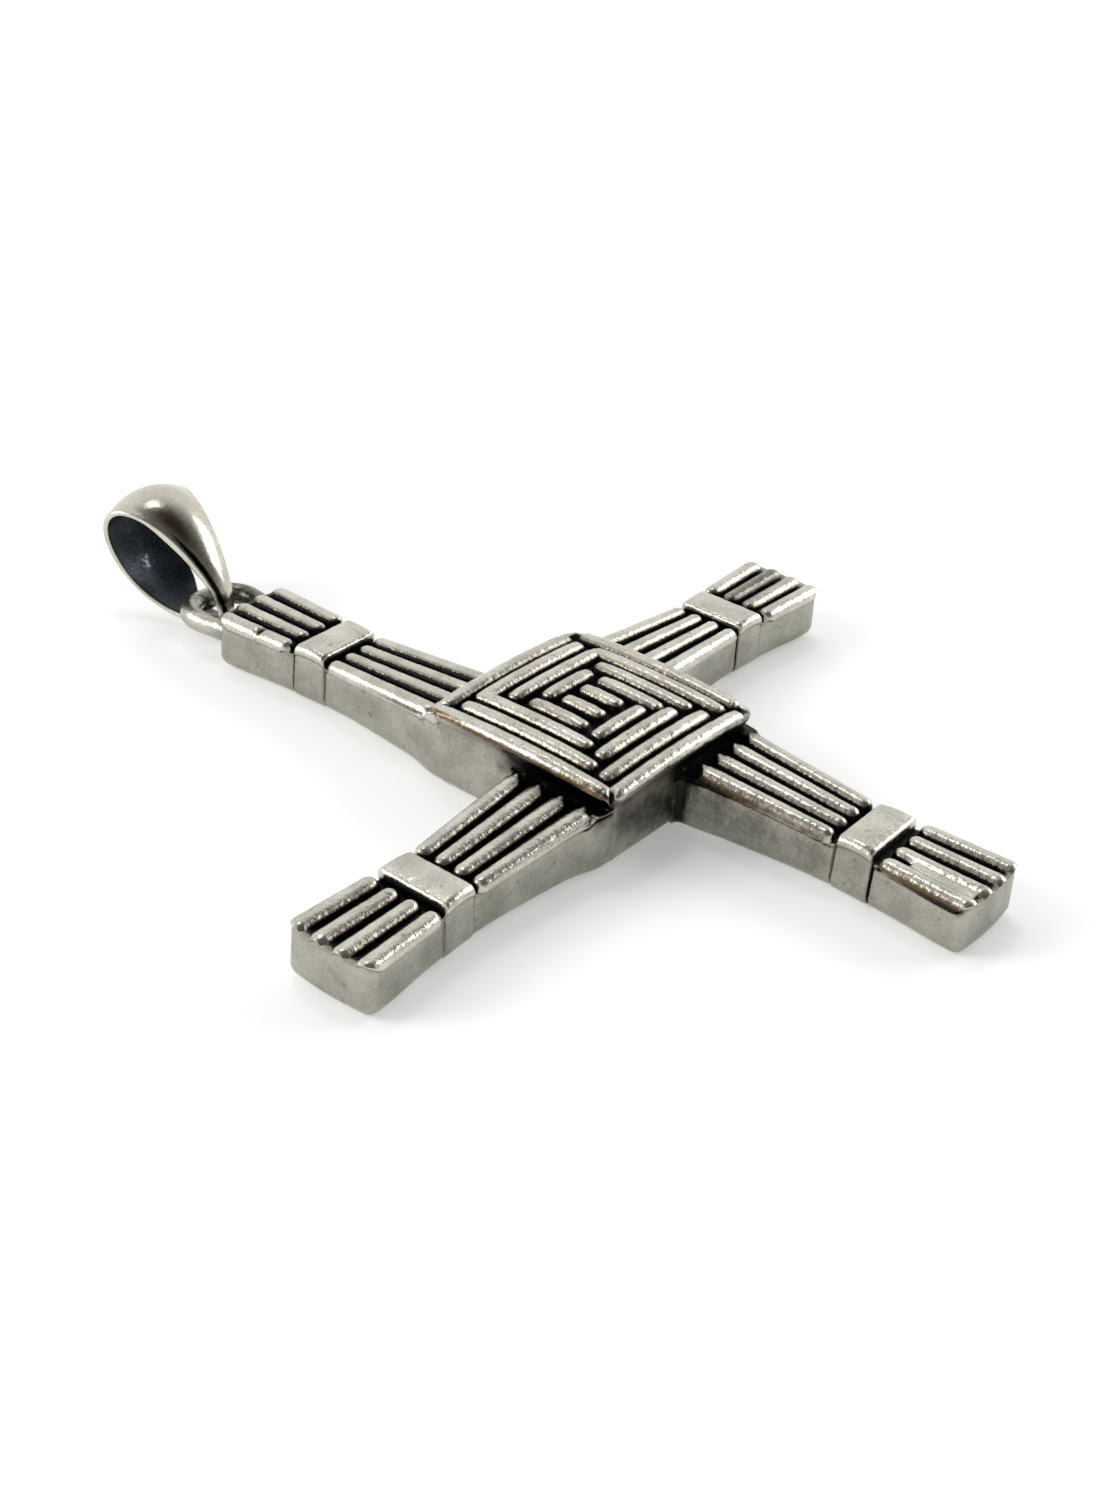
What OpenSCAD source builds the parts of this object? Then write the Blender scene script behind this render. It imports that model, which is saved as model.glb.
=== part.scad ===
// Silver pendant in the shape of a woven rush cross, lying on its back.
// North (+Y) is the arm with the ring and the bail, east is +X and the face is up.
// The origin is in the middle of the woven square, on the flat back.

/* [Woven square] */
// Width of the square from wall to wall
square_w = 8.7; // [8.5:0.05:8.8]
// Radius of the square's upright corners
corner_r = 0.5; // [0.3:0.1:0.8]
// Height of the woven bars' crests in the middle of the square
square_h = 3.8; // [3.6:0.05:4]
// Radius of the dome that the bars follow
dome_r = 48; // [40:1:60]
// Radius of the round top of a bar
bar_r = 0.4; // [0.36:0.01:0.42]
// Depth of the grooves between the bars
weave_d = 0.42; // [0.35:0.01:0.5]

/* [Arms] */
// Distance of an arm's centre line from the square's middle, where the arm leaves the square
arm_offset = 2.03; // [2:0.01:2.08]
// How far each arm leans outwards, in degrees
arm_lean = 0.8; // [0:0.1:1]
// Distance from the middle of the square to the corners of an arm's end
arm_reach = 16.6; // [16:0.1:17]
// Half width of an arm where it leaves the square
root_half = 2.1; // [2:0.05:2.2]
// Half width of an arm beside its tie band
waist_half = 1.53; // [1.5:0.01:1.6]
// Half width of an arm at its end
end_half = 1.97; // [1.9:0.01:2.1]
// Height of the ridges' crests beside the square
root_h = 2.8; // [2.7:0.05:2.9]
// Height of the ridges' crests from the tie band outwards
arm_h = 2.4; // [2.3:0.05:2.5]
// Depth of the grooves between the ridges
groove_d = 0.42; // [0.35:0.01:0.5]
// Radius of the upright corners at an arm's end
end_corner_r = 0.4; // [0.3:0.05:0.5]
// How far the end face bulges in its middle
end_bulge = 0.15; // [0.1:0.05:0.2]

/* [Tie bands] */
// Distance of the tie band's inner edge from the middle of the square
band_from = 10.9; // [10.7:0.05:11]
// Width of the tie band along the arm
band_w = 1.65; // [1.5:0.05:1.8]
// Height of the tie band's crest
band_h = 2.55; // [2.5:0.05:2.7]
// Radius of the tie band's rounded back
band_back_r = 3.4; // [2.5:0.1:5]
// How far the band stands out of the arm's side walls
band_proud = 0.1; // [0.06:0.01:0.14]

/* [Ring] */
// Distance of the ring's middle from the pendant's north-south middle line
ring_offset = 2.16; // [2.1:0.01:2.2]
// Distance from the middle of the square to the ring's outer bar
ring_reach = 19.45; // [19.3:0.05:19.6]
// Half width of the ring, between the middles of its wire
ring_half = 1.5; // [1.48:0.01:1.6]
// Radius of the two bends of the ring
ring_bend_r = 1.15; // [1.1:0.05:1.25]
// Radius of the ring's wire
ring_wire_r = 0.45; // [0.42:0.01:0.46]
// Height of the ring's wire above the back
ring_h = 1.25; // [1.2:0.05:1.3]

/* [Bail] */
// Length of the bail
bail_l = 6.95; // [6.8:0.05:7.1]
// Half height of the bail's loop, before it narrows towards its foot
bail_half = 2.48; // [2.4:0.02:2.6]
// Width of the bail at its foot, inside the ring
bail_foot_w = 0.8; // [0.7:0.05:1.1]
// Width of the bail at its top
bail_top_w = 4.1; // [3.6:0.1:4.3]
// How far the middle of the bail's back stands proud of its rims
bail_crown = 0.6; // [0.4:0.02:0.7]
// Thickness of the bail's wall in the middle of its width
bail_wall = 0.42; // [0.38:0.02:0.44]
// Thickness of the bail's wall at its rims
bail_rim = 0.26; // [0.22:0.02:0.38]
// Upward tilt of the bail as it lies on the table
bail_tilt = 24; // [22:0.5:26]

/* [Hidden] */
$fn = 48;

cross_colour = [0.70, 0.69, 0.64];
bail_colour = [0.60, 0.60, 0.57];

// The height of the middle of the sphere that the woven bars follow
dome_centre = square_h - dome_r;
// A bar stops a little short of its charted ends
bar_trim = 0.25;

// Steps of the arcs that round a corner, a bend and the tip of a ridge
CORNER_STEPS = 6;
BEND_STEPS = 5;
TIP_STEPS = 4;
// How far a cutting shape reaches past what it cuts
cut_margin = 1;

// The bars that run south to north: their x, their south end, their north end
UPRIGHT_BARS = [
    [-4.2, -4.3, 4.5],
    [-3.37, -2.85, 3.7],
    [-2.47, -1.95, 3.6],
    [-1.57, -1.0, 1.85],
    [-0.55, -1.0, 1.05],
    [0.55, -1.0, 1.05],
    [1.57, -2.15, 1.0],
    [2.47, -2.9, 1.85],
    [3.37, -3.8, 2.7],
    [4.2, -3.95, 3.95],
];

// The bars that run west to east: their y, their west end, their east end
LEVEL_BARS = [
    [4.2, -3.9, 3.7],
    [3.37, -2.85, 3.5],
    [2.47, -2.0, 3.6],
    [1.57, -1.05, 1.85],
    [-1.57, -1.95, 1.1],
    [-2.47, -2.85, 1.95],
    [-3.37, -3.75, 2.8],
    [-4.2, -4.45, 3.9],
];

// The arm starts inside the square, and leans from the place where it leaves it
arm_start = 3.5;
lean_from = 5;
band_to = band_from + band_w;

// The arm in plan: the distance from the square's middle, the half width there
ARM_OUTLINE = [
    [arm_start, root_half],
    [lean_from, 2.07],
    [6.2, 1.88],
    [8, 1.69],
    [10.2, waist_half],
    [13, 1.64],
    [14, 1.74],
    [15.4, 1.91],
];

// The crossings where a ridge ends: the distance, the pitch of the ridges, their radius, their crest
RIDGE_ENDS = [
    [5.5, 1.05, 0.44, root_h],
    [10.22, 0.88, 0.37, arm_h + 0.03],
    [13.22, 0.95, 0.39, arm_h],
    [15.98, 1.03, 0.43, arm_h - 0.03],
];
RIDGES = 4;
// More than an arm is wide and high, for cutting shapes
arm_box = 6;
band_corner_r = 0.25;
band_shoulder_r = 0.3;

// The ring's legs start inside the north arm's end
leg_inside = 0.4;
leg_l = ring_reach - ring_bend_r - arm_reach + leg_inside;

// The bail: steps round its loop, steps across its wall, and the shape of the teardrop
BAIL_STEPS = 48;
BAIL_ACROSS = 8;
foot_y = 18.15;
foot_shift = 0.13;
foot_round = 0.2;
foot_taper = 0.45;
crown_at_foot = 0.2;
top_lean = 0.8;
table_gap = 0.01;
slope_step = 0.1;

function arc(centre, r, from, to, steps) =
    [for (i = [0:steps]) let (a = from + (to - from) * i / steps) centre + r * [cos(a), sin(a)]];

function mirrored(points) = [for (i = [len(points) - 1:-1:0]) [-points[i].x, points[i].y]];

// A ridge: a round rod between two points, with a rounded end at each
module rod(p0, r0, p1, r1) {
    d = p1 - p0;
    translate(p0)
        rotate([0, acos(d.z / norm(d)), atan2(d.y, d.x)])
            rotate_extrude()
                polygon(concat(arc([0, 0], r0, -90, 0, TIP_STEPS), arc([0, norm(d)], r1, 0, 90, TIP_STEPS)));
}

// A woven bar that runs west to east at a given y: a round rod with flat ends, bent along the dome
module level_bar(y, west, east) {
    sweep_r = sqrt(pow(dome_r, 2) - pow(y, 2)) - bar_r;
    a_west = asin((west + bar_trim) / sweep_r);
    a_east = asin((east - bar_trim) / sweep_r);
    translate([0, y, dome_centre])
        rotate([90, 0, 0])
            rotate([0, 0, 90 - a_east])
                rotate_extrude(angle = a_east - a_west, $fn = 360)
                    translate([sweep_r, 0]) circle(bar_r, $fn = 24);
}

module woven_square() {
    inner = square_w / 2 - corner_r;
    outline = [
        for (quarter = [0:3])
            let (a = 90 * quarter)
                each arc(inner * sqrt(2) * [cos(a + 45), sin(a + 45)], corner_r, a, a + 90, CORNER_STEPS)
    ];
    intersection() {
        linear_extrude(square_h) polygon(outline);
        translate([0, 0, dome_centre]) sphere(dome_r - weave_d, $fn = 200);
    }
    for (bar = LEVEL_BARS) level_bar(bar[0], bar[1], bar[2]);
    for (bar = UPRIGHT_BARS) rotate([0, 0, 90]) level_bar(-bar[0], bar[1], bar[2]);
}

// The arm as a plain slab that flares to both ends and slopes up to the square
module arm_slab() {
    side = [for (row = ARM_OUTLINE) [row[1], row[0]]];
    corner = [end_half - end_corner_r, arm_reach - end_corner_r];
    bulge_r = (pow(corner.x, 2) + pow(end_bulge, 2)) / (2 * end_bulge);
    bulge_a = asin(corner.x / bulge_r);
    right = concat(side, arc(corner, end_corner_r, 0, 75, BEND_STEPS));
    end_face = arc([0, arm_reach + end_bulge - bulge_r], bulge_r, 90 - bulge_a, 90 + bulge_a, CORNER_STEPS);
    root_top = root_h - groove_d;
    arm_top = arm_h - groove_d;
    profile = [
        [arm_start, 0],
        [arm_reach + cut_margin, 0],
        [arm_reach + cut_margin, arm_top],
        [band_from, arm_top],
        [lean_from, root_top],
        [arm_start, root_top]
    ];
    intersection() {
        linear_extrude(arm_box) polygon(concat(right, end_face, mirrored(right)));
        rotate([90, 0, 90]) linear_extrude(arm_box, center = true) polygon(profile);
    }
}

// Two sets of ridges, one on each side of the tie band
module arm_ridges() {
    for (start = [0, 2], k = [0:RIDGES - 1]) {
        inner = RIDGE_ENDS[start];
        outer = RIDGE_ENDS[start + 1];
        place = k - (RIDGES - 1) / 2;
        rod([place * inner[1], inner[0], inner[3] - inner[2]], inner[2],
            [place * outer[1], outer[0], outer[3] - outer[2]], outer[2]);
    }
}

// The band that ties the rushes, with a rounded back, round shoulders and round upright corners
module tie_band() {
    half = waist_half + band_proud;
    middle = (band_from + band_to) / 2;
    plan = concat(
        arc([half - band_corner_r, band_from + band_corner_r], band_corner_r, -90, 0, TIP_STEPS),
        arc([half - band_corner_r, band_to - band_corner_r], band_corner_r, 0, 90, TIP_STEPS)
    );
    front = concat(
        [[half, 0]],
        arc([half - band_shoulder_r, band_h - band_shoulder_r], band_shoulder_r, 0, 90, BEND_STEPS)
    );
    intersection() {
        linear_extrude(arm_box) polygon(concat(plan, mirrored(plan)));
        translate([0, band_to + cut_margin, 0])
            rotate([90, 0, 0])
                linear_extrude(band_w + 2 * cut_margin) polygon(concat(front, mirrored(front)));
        translate([-arm_box / 2, middle, band_h - band_back_r])
            rotate([0, 90, 0]) cylinder(h = arm_box, r = band_back_r, $fn = 96);
    }
}

module arm() {
    translate([-arm_offset, lean_from, 0])
        rotate([0, 0, arm_lean])
            translate([0, -lean_from, 0]) {
                arm_slab();
                arm_ridges();
                tie_band();
            }
}

// A loop of round wire with a straight outer bar, which the bail swings on
module ring() {
    straight = ring_half - ring_bend_r;
    translate([-ring_offset, ring_reach - ring_bend_r, ring_h]) {
        translate([-straight, ring_bend_r, 0])
            rotate([0, 90, 0]) cylinder(h = 2 * straight, r = ring_wire_r);
        for (side = [0, 1]) mirror([side, 0, 0]) {
            translate([straight, 0, 0])
                rotate_extrude(angle = 90) translate([ring_bend_r, 0]) circle(ring_wire_r);
            translate([ring_half, 0, 0])
                rotate([90, 0, 0]) cylinder(h = leg_l, r = ring_wire_r);
        }
    }
}

module cross() {
    color(cross_colour) {
        woven_square();
        for (turn = [0:3]) rotate([0, 0, 90 * turn]) arm();
        ring();
    }
}

// The teardrop in side view: how far along the bail, how high above its axis.
// The angle runs once round the loop, from the foot over the upper side.
function teardrop(l, half, a) =
    let (along = l / 2 * (1 - cos(a)))
    let (fullness = foot_round + (1 - foot_round) * pow(abs(sin(a / 2)), foot_taper))
        [along, half * sin(a) * fullness + top_lean * pow(along / l, 2)];

// One point of a teardrop that is domed from rim to rim: a is the angle, v runs from -1 to 1,
// and flatten is how much less the dome is let in at its rims
function shell_point(l, half, flatten, a, v) =
    let (p = teardrop(l, half, a))
    let (d = teardrop(l, half, a + slope_step) - teardrop(l, half, a - slope_step))
    let (inward = [d.y, -d.x] / norm(d))
    let (share = p.x / l)
    let (width = bail_foot_w + (bail_top_w - bail_foot_w) * share)
    let (drop = bail_crown * (crown_at_foot + (1 - crown_at_foot) * share) - flatten)
    let (q = p + inward * drop * v * v)
        [v * width / 2, q.x, q.y];

function outer_point(a, v) = shell_point(bail_l, bail_half, 0, a, v);
function inner_point(a, v) =
    shell_point(bail_l - 2 * bail_wall, bail_half - bail_wall, bail_wall - bail_rim, a, v)
        + [0, bail_wall, 0];

module bail() {
    section = 2 * (BAIL_ACROSS + 1);
    flat_points = [
        for (i = [0:BAIL_STEPS - 1])
            let (a = 360 * i / BAIL_STEPS)
                each concat(
                    [for (k = [0:BAIL_ACROSS]) outer_point(a, 2 * k / BAIL_ACROSS - 1)],
                    [for (k = [BAIL_ACROSS:-1:0]) inner_point(a, 2 * k / BAIL_ACROSS - 1)]
                )
    ];
    c = cos(bail_tilt);
    s = sin(bail_tilt);
    points = [for (p = flat_points) [p.x, c * p.y - s * p.z, s * p.y + c * p.z]];
    faces = [
        for (i = [0:BAIL_STEPS - 1], k = [0:section - 1])
            let (next = (i + 1) % BAIL_STEPS, side = (k + 1) % section)
                [i * section + k, next * section + k, next * section + side, i * section + side]
    ];
    lift = table_gap - min([for (p = points) p.z]);
    color(bail_colour)
        translate([foot_shift - ring_offset, foot_y, lift])
            polyhedron(points, faces, convexity = 4);
}

cross();
bail();
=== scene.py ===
"""The looks of a cast silver cross pendant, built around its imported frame.

Lengths in the shape functions are millimetres, as in the construction source, and `to_mesh`
turns them into metres. North is +Y, the woven face is up and the flat back lies on z = 0.
"""

import math

import bpy
import numpy as np
from mathutils import Matrix


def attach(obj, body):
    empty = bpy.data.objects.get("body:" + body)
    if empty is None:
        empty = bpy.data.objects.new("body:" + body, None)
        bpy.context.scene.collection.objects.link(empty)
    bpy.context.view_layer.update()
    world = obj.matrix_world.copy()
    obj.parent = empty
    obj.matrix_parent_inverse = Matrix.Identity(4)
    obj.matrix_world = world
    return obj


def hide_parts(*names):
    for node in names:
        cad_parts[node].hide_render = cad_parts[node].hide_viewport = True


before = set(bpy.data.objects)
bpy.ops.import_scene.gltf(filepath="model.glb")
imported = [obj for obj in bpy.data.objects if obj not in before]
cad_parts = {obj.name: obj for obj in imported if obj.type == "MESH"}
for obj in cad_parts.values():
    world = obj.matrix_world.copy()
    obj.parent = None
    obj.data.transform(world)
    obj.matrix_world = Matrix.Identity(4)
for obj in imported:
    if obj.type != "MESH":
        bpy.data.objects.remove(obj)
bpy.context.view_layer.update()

MM = 0.001

# The woven square: its walls, its dome and its bars
SQUARE_HALF = 4.35
SQUARE_H = 3.8
SQUARE_CORNER_R = 0.75
SQUARE_RIPPLE = 0.01
DOME_R = 48
BAR_R = 0.4
WEAVE_D = 0.42
OUTER_BAR = 4.2
# How far past the outermost bars' axes the groove mask is gone, and still whole
BAR_FLANK = (0.22, 0.06)
# The grooves get shallower towards the corners, between two sums of |x| and |y|
CORNER_FILL = 0.2
CORNER_FILL_RANGE = (7.8, 8.4)
# How long a bar's rounded tip is, the power that makes it blunt and how far its taper reaches
TIP_LENGTH = 0.3
TIP_POWER = 2.8
TIP_TAPER = 0.4
# Share by which a bar slims, how far its crest drops at its tips, and how uneven the crests are
BAR_SLIM = 0.03
BAR_TIP_DROP = 0.03
BAR_UNEVEN = 0.012
# The nick at the south-west corner: width, where it starts and is whole, depth, darkness
CORNER_NICK_W = 0.16
CORNER_NICK_RANGE = (-7.9, -8.5)
CORNER_NICK_D = 0.2
CORNER_NICK_DARK = 0.8

# Bars that run south to north: x, south tip, north tip
UPRIGHT_BARS = np.array([
    [-OUTER_BAR, -4.3, 4.5],
    [-3.37, -2.85, 3.7],
    [-2.47, -1.95, 3.6],
    [-1.57, -1.0, 1.85],
    [-0.55, -1.0, 1.05],
    [0.55, -1.0, 1.05],
    [1.57, -2.15, 1.0],
    [2.47, -2.9, 1.85],
    [3.37, -3.8, 2.7],
    [OUTER_BAR, -3.95, 3.95],
])
# Bars that run west to east: y, west tip, east tip
LEVEL_BARS = np.array([
    [OUTER_BAR, -3.9, 3.7],
    [3.37, -2.85, 3.5],
    [2.47, -2.0, 3.6],
    [1.57, -1.05, 1.85],
    [-1.57, -1.95, 1.1],
    [-2.47, -2.85, 1.95],
    [-3.37, -3.75, 2.8],
    [-OUTER_BAR, -4.45, 3.9],
])

# One arm, with s as the distance from the square's middle
ARM_OFFSET = 2.03
ARM_LEAN = math.radians(0.8)
LEAN_FROM = 5.0
ARM_START = 3.6
ARM_REACH = 16.6
ARM_RIPPLE = 0.008
END_CORNER_R = 0.4
# The end wall's bulge, the rise of the groove floors towards it and where both begin
END_BULGE = 0.15
END_FILL = 0.2
END_RISE = 0.6
# How much of the oxide is worn off at the end edge
END_CLEAN = 0.45
OUTLINE_S = [3.5, 5, 6.2, 8, 10.2, 13, 14, 15.4, 16.6]
OUTLINE_HALF = [2.1, 2.07, 1.88, 1.69, 1.53, 1.64, 1.74, 1.91, 1.97]
ROOT_H = 2.8
ARM_H = 2.4
GROOVE_D = 0.42
# How far up the arms' ridges the oxide climbs
OXIDE_CLIMB = 1.2
# Where a ridge starts or ends: s, pitch of the ridges, radius, crest height
RIDGE_S = np.array([5.25, 10.36, 13.16, 16.16])
RIDGE_PITCH = [1.05, 0.88, 0.95, 1.03]
RIDGE_R = [0.44, 0.37, 0.39, 0.43]
RIDGE_CREST = [2.8, 2.43, 2.4, 2.37]
OUTER_RIDGE = 1.5
RIDGE_PLACES = np.array([-OUTER_RIDGE, -0.5, 0.5, OUTER_RIDGE])
# How far the ridges run on over the end edge
END_RUN = 0.16
# Where an outer ridge's outer flank stops being groove, across it and along the arm
OUTER_FLANK = (0.02, 0.16)
FLANK_FROM = (4.65, 4.95)
FLUSH_SIDE = (-1.2, -1.5)
FLUSH_SHARE = 0.85
# The tie band between its two notches
BAND_FROM = 10.9
BAND_TO = 12.55
BAND_H = 2.55
BAND_BACK_R = 3.4
BAND_EDGE_R = 0.14
BAND_SHOULDER_R = 0.3
BAND_SWELL = 0.06
BAND_SLOPE = 0.12
BAND_SETBACK = 0.03
NOTCH_D = 0.1
NOTCH_W = 0.06
NOTCH_DARK_W = 0.05
# The beads at the ridges' inner tips: radius, how far inwards, how much above the root
TIP_BEAD_R = 0.17
TIP_BEAD_IN = 0.25
TIP_BEAD_UP = 0.03
# The fill of the outer groove flank at the flush side's root: height, and where it fades in
ROOT_FILL = 0.25
ROOT_FILL_X = (-1.2, -1.55)
ROOT_FILL_S = (5.3, 4.9)
# How the arm's walls meet the square: a long flare on the flush side, a fillet in the corner
FLUSH_FLARE = 0.21
FLARE_FROM = 5.7
CORNER_FILLET = 0.3
# How far the grid's inner columns stay inside its border
COLUMN_GAP = 0.006

# The arms' flaws: the nick across a ridge of the north arm, the groove of the south arm that
# the casting filled, the thinly oxidised end of the east arm, and how strong each oxide is
NICK_S = 14.45
NICK_SLANT = 0.12
NICK_W = 0.045
NICK_D = 0.13
NICK_DARK = 0.55
NICK_SIDE = (-1.15, -1.3)
FILLED_RISE = (13.55, 13.75)
FILLED_FALL = (16.5, 16.2)
FILLED_DEPTH = 0.09
FILLED_RIPPLE = 0.02
THIN_OXIDE = 0.4
THIN_OXIDE_RANGE = (12.8, 13.6)
NORTH_OXIDE = 1.25
WEST_OXIDE = 0.82
SOUTH_OXIDE = 0.88

# The lips: share of the overhang, extra inset, drop below the border, the row's painted shade
SQUARE_LIP = np.array([
    [0.03, 0.0, 0.10, 0.7],
    [0.18, 0.0, 0.22, 1.0],
    [0.50, 0.0, 0.36, 0.9],
    [0.80, 0.0, 0.55, 0.6],
    [0.95, 0.0, 0.80, 0.3],
    [1.00, 0.0, 1.10, 0.1],
])
ARM_LIP = np.array([
    [0.10, 0.0, 0.06, 0.2],
    [0.50, 0.01, 0.12, 0.8],
    [1.00, 0.03, 0.17, 1.0],
    [1.00, 0.02, 0.22, 0.8],
    [1.00, 0.0, 0.28, 0.2],
])

# How dark the painted shade under a lip is away from the streaks, and how much a warm streak adds
LIP_FAINT = 0.15
LIP_WARM = 0.35

# The ring of round wire
RING_X = -2.16
RING_REACH = 19.45
RING_HALF = 1.5
RING_BEND_R = 1.15
RING_WIRE_R = 0.45
RING_H = 1.25
RING_FOOT = 15.9
WIRE_OVAL = 1.02
# How far each leg is drawn in at the arm, and how much the wire swells there, east and west
LEG_DRAW_IN = 0.28
LEG_DRAW_RANGE = (18.3, 16.5)
LEG_SWELL = (0.3, 0.08)
LEG_SWELL_RANGE = (17.6, 16.8)
# The drop of solder between the legs: half sizes and how far north it lies
SOLDER_SIZE = (1.35, 0.55, 0.4)
SOLDER_AT = 16.75

# The bail: length, half height, widths, crown of its section, walls, and small shapes of its
# outline with the shares of its length over which they come and go
BAIL_L = 6.95
BAIL_HALF = 2.48
BAIL_FOOT_W = 0.8
BAIL_TOP_W = 4.1
BAIL_CROWN = 0.6
BAIL_WALL = 0.42
BAIL_RIM = 0.26
BAIL_HEM = 0.22
HEM_RISE = (0.1, 0.24)
HEM_FALL = (0.75, 0.45)
BAIL_BELLY = 0.3
BELLY_RISE = (0.3, 0.52)
BELLY_FALL = (0.92, 0.6)
BAIL_TILT = math.radians(24)
BAIL_X = RING_X + 0.13
BAIL_FOOT_Y = 18.15
FOOT_ROUND = 0.2
FOOT_TAPER = 0.45
CROWN_AT_FOOT = 0.2
TOP_LEAN = 0.8
TABLE_GAP = 0.01
# Marks on the bail, glints and a painted brown reflection: middle and reach, each as a share
# of its length and of half its width
GLINTS_AT, GLINTS_REACH = (0.74, -0.1), (0.12, 0.4)
BROWN_REFLECTION_AT, BROWN_REFLECTION_REACH = (0.55, -0.5), (0.22, 0.3)
# The painted dark reflection beside the rim: distance and width, what both gain low down,
# and where it fades
RIM_LINE_AT, RIM_LINE_SHIFT = 0.18, 0.05
RIM_LINE_W, RIM_LINE_SPREAD = 0.06, 0.07
RIM_LINE_RANGE = (0.8, 0.3)

# Streaks of stain and of painted shade on the cast silver: start, end, radius and strength
BLACK_STREAKS = np.array([
    # Painted shade under the lips above the west and south arms' roots and in the inner corners
    # beside them
    [-4.6, 0.1, 2.4, -4.6, -3.8, 2.5, 0.7, 1.0],
    [-4.4, 0.9, 2.2, -4.4, 0.2, 2.6, 0.35, 0.6],
    [-0.1, -4.6, 2.4, 4.0, -4.6, 2.5, 0.7, 1.0],
    [-0.1, -4.5, 2.5, -0.1, -4.5, 0.35, 0.4, 1.0],
    [-2.0, -4.4, 2.1, -0.6, -4.4, 1.3, 0.38, 0.75],
    [2.6, -4.6, 3.0, 4.4, -4.4, 2.8, 0.45, 0.95],
    # Painted shade that makes the square's south wall darker
    [-3.4, -4.4, 1.9, -0.4, -4.4, 0.9, 1.0, 0.7],
    # Stain along the south arm's west side
    [0.2, -5.0, 1.2, 0.5, -10.0, 1.2, 1.0, 0.4],
    [0.3, -4.9, 1.6, 0.2, -6.2, 1.9, 0.4, 0.55],
    [-0.05, -4.9, 2.35, 0.38, -8.0, 2.1, 0.13, 0.95],
    [0.38, -8.0, 2.1, 0.57, -10.5, 1.95, 0.13, 0.95],
    [0.5, -12.8, 1.95, 0.2, -16.2, 1.93, 0.13, 0.95],
    # Painted shade where the ring's legs and solder meet the north arm's end, and along the east
    # leg
    [-3.5, 16.6, 1.3, -3.3, 16.9, 1.3, 0.55, 0.75],
    [-0.8, 16.9, 1.3, -0.8, 19.0, 1.2, 0.8, 0.85],
    [-3.0, 16.8, 1.6, -1.2, 16.8, 1.6, 0.6, 0.95],
    # Stain on the east arm's outer end
    [13.3, 2.3, 2.4, 16.2, 2.6, 2.4, 1.0, 0.6],
])
WARM_STREAKS = np.array([
    [-4.52, 4.2, 3.3, -4.52, -4.2, 3.3, 0.16, 1.0],
    [-4.05, 5.2, 2.5, -3.55, 10.4, 2.15, 0.14, 0.7],
    [0.02, -5.0, 2.5, 0.4, -8.0, 2.3, 0.24, 1.0],
    [0.4, -8.0, 2.3, 0.58, -10.4, 2.1, 0.24, 1.0],
    [0.5, -13.1, 2.1, 0.2, -16.3, 2.0, 0.24, 1.0],
])

# Edges and worn shapes
BOTTOM_EDGE_R = 0.55
WALL_DRAFT = 0.03
WALL_ROWS = (0.25, 0.5, 0.75)
TOP_POWER = 2.2
SHARP_FROM = math.radians(50)


def curve_through(xs, ys, at):
    """A smooth curve through points, read at `at`. Between two points it is a cubic whose
    slope at each of them is the slope of the chord between that point's neighbours."""
    xs, ys = np.asarray(xs, float), np.asarray(ys, float)
    slopes = np.gradient(ys, xs)
    i = np.clip(np.searchsorted(xs, at) - 1, 0, len(xs) - 2)
    step = xs[i + 1] - xs[i]
    u = np.clip((at - xs[i]) / step, 0, 1)
    level = (1 + 2 * u) * (1 - u) ** 2 * ys[i] + u * u * (3 - 2 * u) * ys[i + 1]
    return level + step * u * (1 - u) * ((1 - u) * slopes[i] - u * slopes[i + 1])


def smooth_step(low, high, at):
    """0 below `low`, 1 above `high`, and the cubic 3u^2 - 2u^3 between them."""
    u = np.clip((at - low) / (high - low), 0, 1)
    return u * u * (3 - 2 * u)


def worn_rod(distance, r, crest):
    """Height of a worn round rod at a distance from its axis in plan. The section is the
    superellipse |d/r|^p + |z/r|^p = 1, whose top is a little flatter than a circle's."""
    share = np.clip(distance / r, 0, 1)
    height = crest - r + r * (1 - share**TOP_POWER) ** (1 / TOP_POWER)
    return np.where(distance < r, height, -1.0)


def hand_ripple(x, y):
    """Small waves of a hand-finished wax, as a sum of four crossed sines."""
    return 0.25 * (
        np.sin(5.1 * x + 2.3 * y + 0.4)
        + np.sin(-3.7 * x + 6.3 * y + 1.9)
        + np.sin(9.7 * x - 4.1 * y + 2.7)
        + np.sin(4.3 * x + 11.9 * y + 0.8)
    )


def grid_quads(rows, cols, wrap_rows=False, wrap_cols=False):
    """Corners of the quads of a grid that is numbered row by row. A wrapped direction joins
    its last line to its first."""
    r = np.arange(rows if wrap_rows else rows - 1)[:, None]
    c = np.arange(cols if wrap_cols else cols - 1)[None, :]
    r_next, c_next = (r + 1) % rows, (c + 1) % cols
    corners = [r * cols + c, r * cols + c_next, r_next * cols + c_next, r_next * cols + c]
    return np.stack(corners, -1).reshape(-1, 4)


def to_mesh(name, points, quads, caps=(), **masks):
    """A mesh in metres from points in millimetres, with one value a point for each mask."""
    mesh = bpy.data.meshes.new(name)
    faces = quads.tolist() + [cap.tolist() for cap in caps]
    mesh.from_pydata((points * MM).tolist(), [], faces)
    for mask, values in masks.items():
        attribute = mesh.attributes.new(mask, "FLOAT", "POINT")
        attribute.data.foreach_set("value", np.ascontiguousarray(values, np.float32))
    return mesh


def to_object(name, data):
    """An object in the scene from a mesh, a lamp or a camera."""
    piece = bpy.data.objects.new(name, data)
    bpy.context.scene.collection.objects.link(piece)
    return piece


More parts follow.
